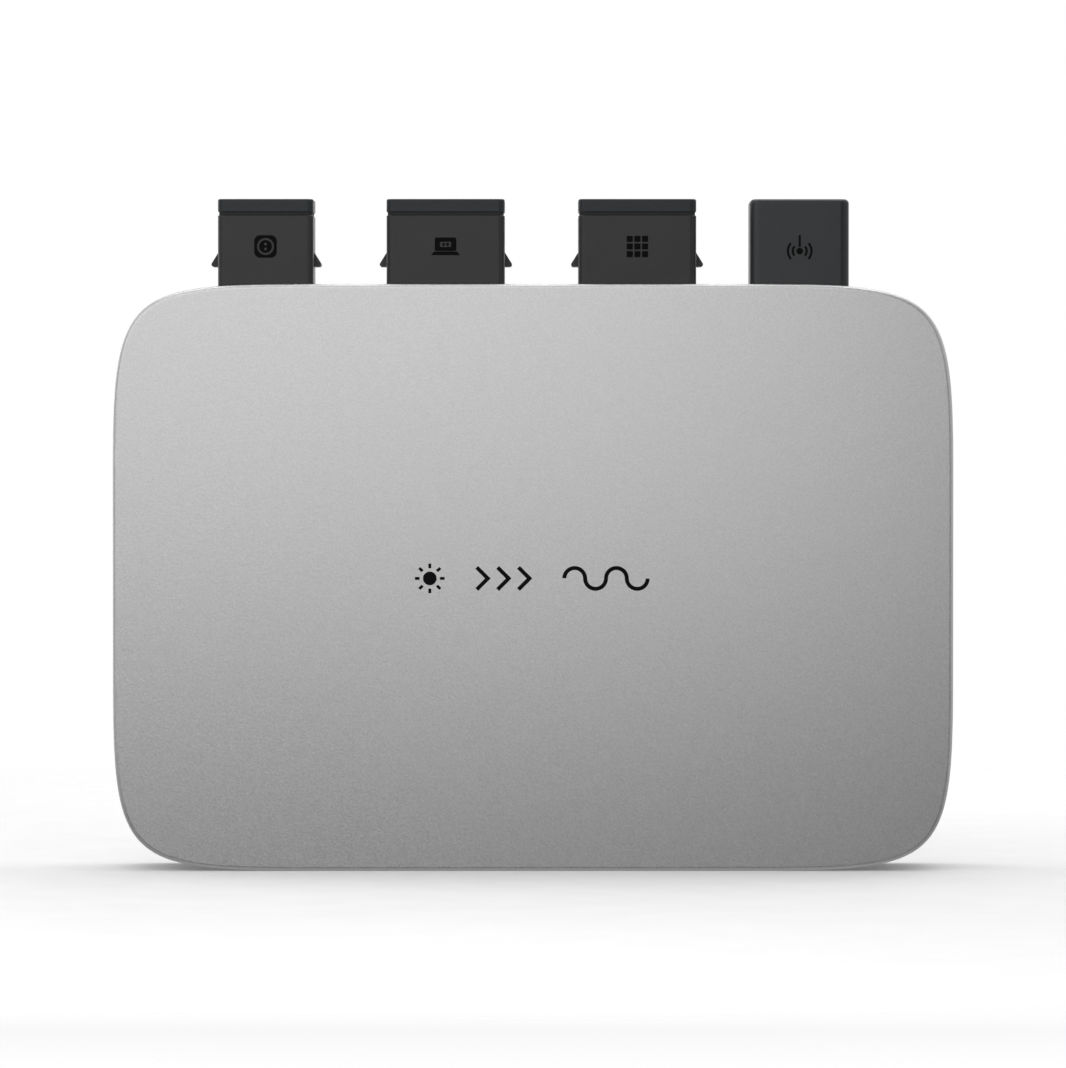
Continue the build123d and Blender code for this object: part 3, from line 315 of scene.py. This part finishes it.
SLOT_LOOKS = {
    "case_aluminium": (
        blasted_metal,
        dict(colour=(0.60, 0.60, 0.60), rough=0.44, grain=0.00045, depth=0.00002, speckle=0.11),
    ),
    "heatsink_aluminium": (
        blasted_metal,
        dict(colour=(0.52, 0.52, 0.525), rough=0.50, grain=0.0006, depth=0.00004, speckle=0.09),
    ),
    "socket_plastic": (moulded, dict(colour=(0.024, 0.024, 0.024), rough=0.40, specular=0.32, wear=0.1)),
    "cap_plastic": (moulded, dict(colour=(0.0155, 0.019, 0.022), rough=0.42, specular=0.30)),
    "antenna_plastic": (
        moulded,
        dict(colour=(0.0125, 0.0145, 0.0165), rough=0.38, grain=0.0002, depth=0.000006),
    ),
    "carrier_plastic": (moulded, dict(colour=(0.10, 0.10, 0.105), rough=0.55)),
    "seal_rubber": (rubber, dict(colour=(0.018, 0.018, 0.019))),
    "gasket_rubber": (rubber, dict(colour=(0.03, 0.03, 0.031), rough=0.85)),
    "contact_metal": (machined, dict(colour=(0.80, 0.77, 0.68), rough=0.22, stretch=(1, 1, 6))),
    "screw_steel": (machined, dict(colour=(0.52, 0.52, 0.53), rough=0.28)),
    "board_laminate": (laminate, dict(mask=(0.012, 0.085, 0.035))),
    "board_copper": (machined, dict(colour=(0.86, 0.50, 0.28), rough=0.30)),
    "ferrite": (ceramic, dict(colour=(0.045, 0.045, 0.048), rough=0.55)),
    "winding_copper": (wound_copper, dict(colour=(0.62, 0.24, 0.09), wire=0.0006)),
    "bobbin_plastic": (moulded, dict(colour=(0.05, 0.05, 0.052), rough=0.45)),
    "capacitor_can": (machined, dict(colour=(0.72, 0.72, 0.74), rough=0.25, stretch=(1, 1, 8))),
    "film_capacitor_case": (moulded, dict(colour=(0.36, 0.33, 0.20), rough=0.40)),
    "relay_case": (moulded, dict(colour=(0.025, 0.026, 0.030), rough=0.35)),
    "inductor_case": (ceramic, dict(colour=(0.10, 0.10, 0.11), rough=0.60)),
    "varistor_coat": (moulded, dict(colour=(0.03, 0.10, 0.34), rough=0.25, grain=0.0008)),
    "fuse_body": (ceramic, dict(colour=(0.74, 0.72, 0.66), rough=0.35)),
    "chip_black": (moulded, dict(colour=(0.02, 0.02, 0.02), rough=0.50)),
    "shield_metal": (machined, dict(colour=(0.74, 0.74, 0.73), rough=0.30, stretch=(6, 1, 1))),
    "pad_grey": (rubber, dict(colour=(0.32, 0.35, 0.38), rough=0.6)),
    "insulation_film": (moulded, dict(colour=(0.05, 0.05, 0.055), rough=0.35)),
    "light_clear": (clear_plastic, dict(colour=(0.82, 0.84, 0.86), rough=0.25)),
    "lamp_white": (moulded, dict(colour=(0.80, 0.80, 0.77), rough=0.35)),
    "vent_plastic": (moulded, dict(colour=(0.030, 0.030, 0.032), rough=0.50)),
    "membrane": (rubber, dict(colour=(0.80, 0.80, 0.80), rough=0.8)),
    "lead_jacket": (moulded, dict(colour=(0.025, 0.025, 0.026), rough=0.40)),
}
MATERIALS = {slot: kind(slot, **settings) for slot, (kind, settings) in SLOT_LOOKS.items()}
PORT_INK = ink("port_ink", (0.0035, 0.0035, 0.0038))
SIGN_INK = ink("sign_ink", (0.0045, 0.0045, 0.006), 0.42)

for entry in frame["record"]["subparts"]:
    mesh = nodes[entry["node"]].data
    mesh.materials.clear()
    mesh.materials.append(MATERIALS[entry["material_slot"]])

# ---- flat signs ----


def box_outline(x, z, width, height, corner=0.0, steps=6):
    """Points round an upright rectangle with rounded corners, in mm."""
    if corner <= 0:
        return [(x + i * width / 2, z + j * height / 2) for i, j in ((-1, -1), (1, -1), (1, 1), (-1, 1))]
    points = []
    for quarter, (i, j) in enumerate(((1, 1), (-1, 1), (-1, -1), (1, -1))):
        centre = (x + i * (width / 2 - corner), z + j * (height / 2 - corner))
        for step in range(steps + 1):
            angle = math.radians(90 * quarter + 90 * step / steps)
            points.append((centre[0] + corner * math.cos(angle), centre[1] + corner * math.sin(angle)))
    return points


def disc_outline(x, z, radius, steps=40):
    turns = [2 * math.pi * step / steps for step in range(steps)]
    return [(x + radius * math.cos(turn), z + radius * math.sin(turn)) for turn in turns]


def arc_path(x, z, radius, start, end, steps=24):
    """Points along an arc, from start to end in degrees, in mm."""
    turns = [math.radians(start + (end - start) * step / steps) for step in range(steps + 1)]
    return [(x + radius * math.cos(turn), z + radius * math.sin(turn)) for turn in turns]


def stroke_outline(path, stroke, gap=0.0):
    """Points round a stroke along a path, with mitred corners, in mm. It is thinner all round by gap."""
    points = [Vector(point) for point in path]
    points[0] += (points[1] - points[0]).normalized() * gap
    points[-1] += (points[-2] - points[-1]).normalized() * gap
    runs = [(after - before).normalized() for before, after in zip(points, points[1:])]
    left = []
    right = []
    arrivals = runs[:1] + runs
    departures = runs + runs[-1:]
    for point, arrive, leave in zip(points, arrivals, departures):
        middle_way = (arrive + leave).normalized()
        side = Vector((-middle_way.y, middle_way.x))
        reach = (stroke / 2 - gap) / middle_way.dot(leave)
        left.append(tuple(point + side * reach))
        right.append(tuple(point - side * reach))
    return left + right[::-1]


def flat_sign(name, outlines, front, thickness, material, body="case"):
    """A thin solid in the shape of closed outlines, with holes where one lies in another.

    The outlines are in mm in X and Z. The solid's front face is at depth front, and it is thickness deep.
    """
    drawing = bpy.data.curves.new(name, "CURVE")
    drawing.dimensions = "2D"
    drawing.fill_mode = "BOTH"
    drawing.extrude = thickness / 2
    for outline in outlines:
        spline = drawing.splines.new("POLY")
        spline.points.add(len(outline) - 1)
        for point, (x, z) in zip(spline.points, outline):
            point.co = (x * MM, z * MM, 0, 1)
        spline.use_cyclic_u = True
    holder = bpy.data.objects.new(name, drawing)
    bpy.context.scene.collection.objects.link(holder)
    mesh = bpy.data.meshes.new_from_object(holder)
    bpy.data.objects.remove(holder)
    bpy.data.curves.remove(drawing)
    for vertex in mesh.vertices:
        x, z, depth = vertex.co
        vertex.co = (x, front + thickness / 2 - depth, z)
    mesh.update()
    mesh.materials.clear()
    mesh.materials.append(material)
    piece = bpy.data.objects.new(name, mesh)
    bpy.context.scene.collection.objects.link(piece)
    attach(piece, body)


def middle_x(node):
    """The middle of a node in X, in mm."""
    lowest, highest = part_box(node)
    return (lowest.x + highest.x) / 2 / MM


def socket_sign(x, z):
    """A mains socket: a rounded square with a round well and two holes."""
    return [
        box_outline(x, z, 6.5, 6.5, 1.7),
        disc_outline(x, z, 2.45),
        disc_outline(x, z, 1.85),
        disc_outline(x, z + 0.7, 0.42),
        disc_outline(x, z - 0.7, 0.42),
    ]


def battery_sign(x, z):
    """A power station: a box with a window on a wider foot."""
    return [
        box_outline(x, z + 0.65, 6.2, 3.9, 0.5),
        [(x - 4.2, z - 2.5), (x + 4.2, z - 2.5), (x + 3.3, z - 1.45), (x - 3.3, z - 1.45)],
        box_outline(x, z + 0.6, 3.2, 1.5, 0.2),
        box_outline(x - 0.55, z + 0.6, 0.7, 0.8),
        box_outline(x + 0.55, z + 0.6, 0.7, 0.8),
    ]


def panel_sign(x, z):
    """A solar panel: nine cells."""
    pitch = 2.2
    cell = 1.75
    places = [(x + i * pitch, z + j * pitch) for i in (-1, 0, 1) for j in (-1, 0, 1)]
    return [box_outline(*place, cell, cell, 0.2) for place in places]


def antenna_sign(x, z):
    """A mast with waves on both sides."""
    foot = z - 1.3
    stroke = 0.62
    arcs = [(radius, turn) for radius in (2.0, 3.4) for turn in (0, 180)]
    half_arc = 42
    waves = []
    for radius, turn in arcs:
        arc = arc_path(x, foot, radius, turn - half_arc, turn + half_arc)
        waves.append(stroke_outline(arc, stroke))
    mast = stroke_outline([(x, foot + 1.2), (x, foot + 4.6)], stroke)
    return waves + [disc_outline(x, foot, 0.95), mast]


SUN_X = -29.7
SUN_RADIUS = 2.0
SUN_RAYS = 8
RAY_REACH = (2.9, 4.3)  # where a ray starts and ends, from the sun's middle
RAY_STROKE = 0.9
ARROW_TIPS = (-13.0, -7.0, -1.0)
ARROW_REACH = 3.2
WAVE_START = 9.0
WAVE_RADIUS = 3.0
WAVE_HALVES = 4


def front_sign(z, stroke=1.2, gap=0.03):
    """A sun, three arrowheads and a wave, each smaller than its engraved recess by gap all round."""
    sun = Vector((SUN_X, z))
    outlines = [disc_outline(*sun, SUN_RADIUS - gap)]
    for ray in range(SUN_RAYS):
        turn = 2 * math.pi * ray / SUN_RAYS
        along = Vector((math.cos(turn), math.sin(turn)))
        ends = [sun + reach * along for reach in RAY_REACH]
        outlines.append(stroke_outline(ends, RAY_STROKE, gap))
    for tip in ARROW_TIPS:
        back = tip - ARROW_REACH
        path = [(back, z + ARROW_REACH), (tip, z), (back, z - ARROW_REACH)]
        outlines.append(stroke_outline(path, stroke, gap))
    wave = []
    for half in range(WAVE_HALVES):
        middle_of_half = WAVE_START + (2 * half + 1) * WAVE_RADIUS
        end = 360 * (half % 2)
        wave += arc_path(middle_of_half, z, WAVE_RADIUS, 180, end)[:-1]
    wave.append((WAVE_START + 2 * WAVE_HALVES * WAVE_RADIUS, z))
    outlines.append(stroke_outline(wave, stroke, gap))
    return outlines


PRINT_THICK = 0.06 * MM
PRINT_SUNK = 0.02 * MM  # how far a print goes into its surface, so that no gap shows
BLOCK_SIGN_Z = 179.9
PORT_FACE = -12.0 * MM
ANTENNA_FACE = -11.5 * MM
FRONT_SIGN_Z = 84.3
INK_LOW = 0.03 * MM  # the front sign's ink lies this far below the face
INK_THICK = 0.2 * MM

BLOCK_SIGNS = {
    "ac_port_sign": (socket_sign, "ac_port_shell", PORT_FACE, "socket_plastic"),
    "battery_port_sign": (battery_sign, "battery_port_shell", PORT_FACE, "socket_plastic"),
    "pv_port_sign": (panel_sign, "pv_port_shell", PORT_FACE, "socket_plastic"),
    "antenna_sign": (antenna_sign, "antenna_cover", ANTENNA_FACE, "antenna_plastic"),
}
for name, (sign, node, face, slot) in BLOCK_SIGNS.items():
    outlines = sign(middle_x(node), BLOCK_SIGN_Z)
    flat_sign(name, outlines, face - PRINT_THICK, PRINT_THICK + PRINT_SUNK, PORT_INK)
flat_sign("front_sign", front_sign(FRONT_SIGN_Z), low.y + INK_LOW, INK_THICK, SIGN_INK)

# ---- small chips on the front of the main board ----

CHIP_SINK = 0.02 * MM  # how far a chip goes into the board, so that no gap shows
CHIP_THICK = 0.55 * MM
CHIP_LONG = 1.6 * MM
CHIP_WIDE = 0.8 * MM
CHIP_END = 0.3 * MM
CHIP_CLEAR = 2.0 * MM  # the least distance from a chip's middle to any other node
CHIP_PITCH = (4.2 * MM, 3.0 * MM)
CHIP_BORDER = 8.0 * MM


def chip_spots():
    """Places and turns of chips: a loose grid on the board, wherever no other node is near."""
    board_low, board_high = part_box("main_board")
    others = [node for name, node in nodes.items() if name != "main_board"]
    draw = random.Random(4)
    columns = int((board_high.x - board_low.x - 2 * CHIP_BORDER) / CHIP_PITCH[0])
    rows = int((board_high.z - board_low.z - 2 * CHIP_BORDER) / CHIP_PITCH[1])
    spots = []
    for column in range(columns + 1):
        for row in range(rows + 1):
            x = board_low.x + CHIP_BORDER + column * CHIP_PITCH[0]
            z = board_low.z + CHIP_BORDER + row * CHIP_PITCH[1]
            fitted = draw.random() < 0.4
            upright = draw.random() < 0.35
            if not fitted:
                continue
            point = Vector((x, board_low.y - CHIP_THICK / 2, z))
            if all(distance_to(node, point) > CHIP_CLEAR for node in others):
                spots.append((point, upright))
    return spots


def distance_to(node, point):
    """How far a point is from a node's surface, in metres."""
    local = node.matrix_world.inverted() @ point
    found, nearest, _, _ = node.closest_point_on_mesh(local)
    return (nearest - local).length if found else math.inf


def box_mesh(name, boxes, material):
    """One piece of upright boxes, each (middle, size), that rides on the case."""
    corners = [(i, j, k) for i in (-0.5, 0.5) for j in (-0.5, 0.5) for k in (-0.5, 0.5)]
    sides = [(0, 1, 3, 2), (4, 6, 7, 5), (0, 4, 5, 1), (2, 3, 7, 6), (0, 2, 6, 4), (1, 5, 7, 3)]
    points = [centre + Vector(corner) * Vector(size) for centre, size in boxes for corner in corners]
    faces = [[8 * box + index for index in side] for box in range(len(boxes)) for side in sides]
    mesh = bpy.data.meshes.new(name)
    mesh.from_pydata(points, [], faces)
    mesh.materials.append(material)
    piece = bpy.data.objects.new(name, mesh)
    bpy.context.scene.collection.objects.link(piece)
    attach(piece, "case")


def add_chips():
    """Resistors and capacitors of one size: a body between two plated ends."""
    bodies = {"chip_resistors": [], "chip_capacitors": []}
    ends = []
    for index, (point, upright) in enumerate(chip_spots()):
        along = Vector((0, 0, 1)) if upright else Vector((1, 0, 0))
        across = Vector((1, 0, 0)) if upright else Vector((0, 0, 1))
        depth = Vector((0, CHIP_THICK + 2 * CHIP_SINK, 0))
        body = along * (CHIP_LONG - 2 * CHIP_END) + across * CHIP_WIDE * 0.94 + depth * 0.96
        end = along * CHIP_END + across * CHIP_WIDE + depth
        bodies["chip_capacitors" if index % 3 == 0 else "chip_resistors"].append((point, body))
        reach = (CHIP_LONG - CHIP_END) / 2
        ends += [(point + along * reach * side, end) for side in (-1, 1)]
    box_mesh("chip_resistors", bodies["chip_resistors"], MATERIALS["chip_black"])
    tan_case = "film_capacitor_case"
    box_mesh("chip_capacitors", bodies["chip_capacitors"], MATERIALS[tan_case])
    box_mesh("chip_ends", ends, MATERIALS["shield_metal"])


add_chips()

# ---- stage, lights and camera ----


def make_floor():
    """A plain pale floor that doesn't show in the metal's reflections."""
    reach = 30.0
    mesh = bpy.data.meshes.new("floor")
    corners = [(i * reach, j * reach, low.z) for i, j in ((-1, -1), (1, -1), (1, 1), (-1, 1))]
    mesh.from_pydata(corners, [], [(0, 1, 2, 3)])
    floor = bpy.data.objects.new("floor", mesh)
    bpy.context.scene.collection.objects.link(floor)
    s = Shader("floor_paper", specular=0.1)
    fibres = s.noise(0.02, detail=4.0)
    s.colour(s.mix(s.range(fibres, 0.3, 0.7, 0, 1), (0.86, 0.86, 0.86), (0.89, 0.89, 0.89)))
    s.roughness(s.range(fibres, 0.3, 0.7, 0.85, 0.95))
    # Away from the object the paper fades into the pale room, so no horizon shows
    away = s.add("ShaderNodeVectorMath", operation="LENGTH")
    s.link(s.place, away.inputs[0])
    fade = s.range(away.outputs["Value"], 0.16, 0.55, 0.0, 1.0)
    blend = s.add("ShaderNodeMixShader")
    s.link(fade, blend.inputs["Fac"])
    s.link(s.surface.outputs["BSDF"], blend.inputs[1])
    s.link(s.add("ShaderNodeBsdfTransparent").outputs["BSDF"], blend.inputs[2])
    s.link(blend.outputs["Shader"], s.tree.nodes["Material Output"].inputs["Surface"])
    mesh.materials.append(s.material)
    floor.visible_glossy = False
    floor.visible_diffuse = False
    floor.visible_shadow = False


def make_light(name, place, size, power, target=None):
    """A soft square light that faces a point of the object, its middle if none is given."""
    data = bpy.data.lights.new(name, "AREA")
    data.shape = "RECTANGLE"
    data.size, data.size_y = size
    data.energy = power
    light = bpy.data.objects.new(name, data)
    bpy.context.scene.collection.objects.link(light)
    light.location = place
    light.visible_camera = False
    aim = Vector(target) if target else middle
    light.rotation_mode = "QUATERNION"
    light.rotation_quaternion = (Vector(place) - aim).to_track_quat("Z", "Y")


# The room's brightness between two values of an axis of the view direction:
# (axis, from, to, brightness at from, brightness at to)
ROOM_RISE = ("Z", -1.0, 1.0, 0.45, 0.9)
ROOM_FRONT = ("Y", -0.85, 0.1, 0.12, 1.0)
ROOM_BACK = ("Y", 0.3, 0.95, 1.0, 0.22)
ROOM_FLOOR = ("Z", -0.8, -0.2, 0.45, 0.0)


def make_world():
    """White to the camera, and to the object a pale room, dim in front and behind, over a bright floor."""
    world = bpy.data.worlds.new("studio")
    bpy.context.scene.world = world
    world.use_nodes = True
    tree = world.node_tree
    place = tree.nodes.new("ShaderNodeTexCoord")
    parts = tree.nodes.new("ShaderNodeSeparateXYZ")
    tree.links.new(place.outputs["Generated"], parts.inputs["Vector"])

    def slope(axis, low_in, high_in, low_out, high_out):
        node = tree.nodes.new("ShaderNodeMapRange")
        node.interpolation_type = "SMOOTHSTEP"
        tree.links.new(parts.outputs[axis], node.inputs["Value"])
        limits = {"From Min": low_in, "From Max": high_in, "To Min": low_out, "To Max": high_out}
        for socket, number in limits.items():
            node.inputs[socket].default_value = number
        return node.outputs["Result"]

    def combine(operation, first, second):
        node = tree.nodes.new("ShaderNodeMath")
        node.operation = operation
        tree.links.new(first, node.inputs[0])
        tree.links.new(second, node.inputs[1])
        return node.outputs["Value"]

    walls = combine("MULTIPLY", slope(*ROOM_RISE), slope(*ROOM_FRONT))
    walls = combine("MULTIPLY", walls, slope(*ROOM_BACK))
    glow = combine("MAXIMUM", walls, slope(*ROOM_FLOOR))
    seen = tree.nodes.new("ShaderNodeLightPath")
    strength = tree.nodes.new("ShaderNodeMix")
    tree.links.new(seen.outputs["Is Camera Ray"], strength.inputs["Factor"])
    tree.links.new(glow, strength.inputs["A"])
    strength.inputs["B"].default_value = 1.0
    shell = tree.nodes["Background"]
    shell.inputs["Color"].default_value = (1, 1, 1, 1)
    tree.links.new(strength.outputs["Result"], shell.inputs["Strength"])


CAMERA_RISE = math.radians(1.0)
CASE_SHARE = 0.78  # of the picture's width


def make_camera():
    """A long lens straight in front, a touch above the object's middle."""
    data = bpy.data.cameras.new("camera")
    data.lens = 200.0
    data.sensor_width = 36.0
    camera = bpy.data.objects.new("camera", data)
    bpy.context.scene.collection.objects.link(camera)
    view_width = (high.x - low.x) / CASE_SHARE
    distance = view_width * data.lens / data.sensor_width
    away = Vector((0, -math.cos(CAMERA_RISE), math.sin(CAMERA_RISE)))
    camera.location = middle + distance * away
    camera.rotation_mode = "QUATERNION"
    camera.rotation_quaternion = away.to_track_quat("Z", "Y")
    bpy.context.scene.camera = camera


make_floor()
make_world()
make_light("key", (-0.3, -0.47, 0.4), (0.95, 0.72), 2.6, target=(-0.3, 0.0, 0.4))
make_light("fill", (1.0, -0.7, 0.35), (0.8, 0.8), 1.0)
make_light("top", (0.0, 0.12, 0.95), (0.9, 0.4), 2.4)
make_light("back_key", (0.30, 0.55, 0.42), (0.9, 0.7), 2.2, target=(0.30, 0.0, 0.42))
make_light("back_low", (-0.7, 0.6, 0.3), (0.6, 0.6), 1.5)

make_camera()
bpy.context.scene.view_settings.view_transform = "Standard"
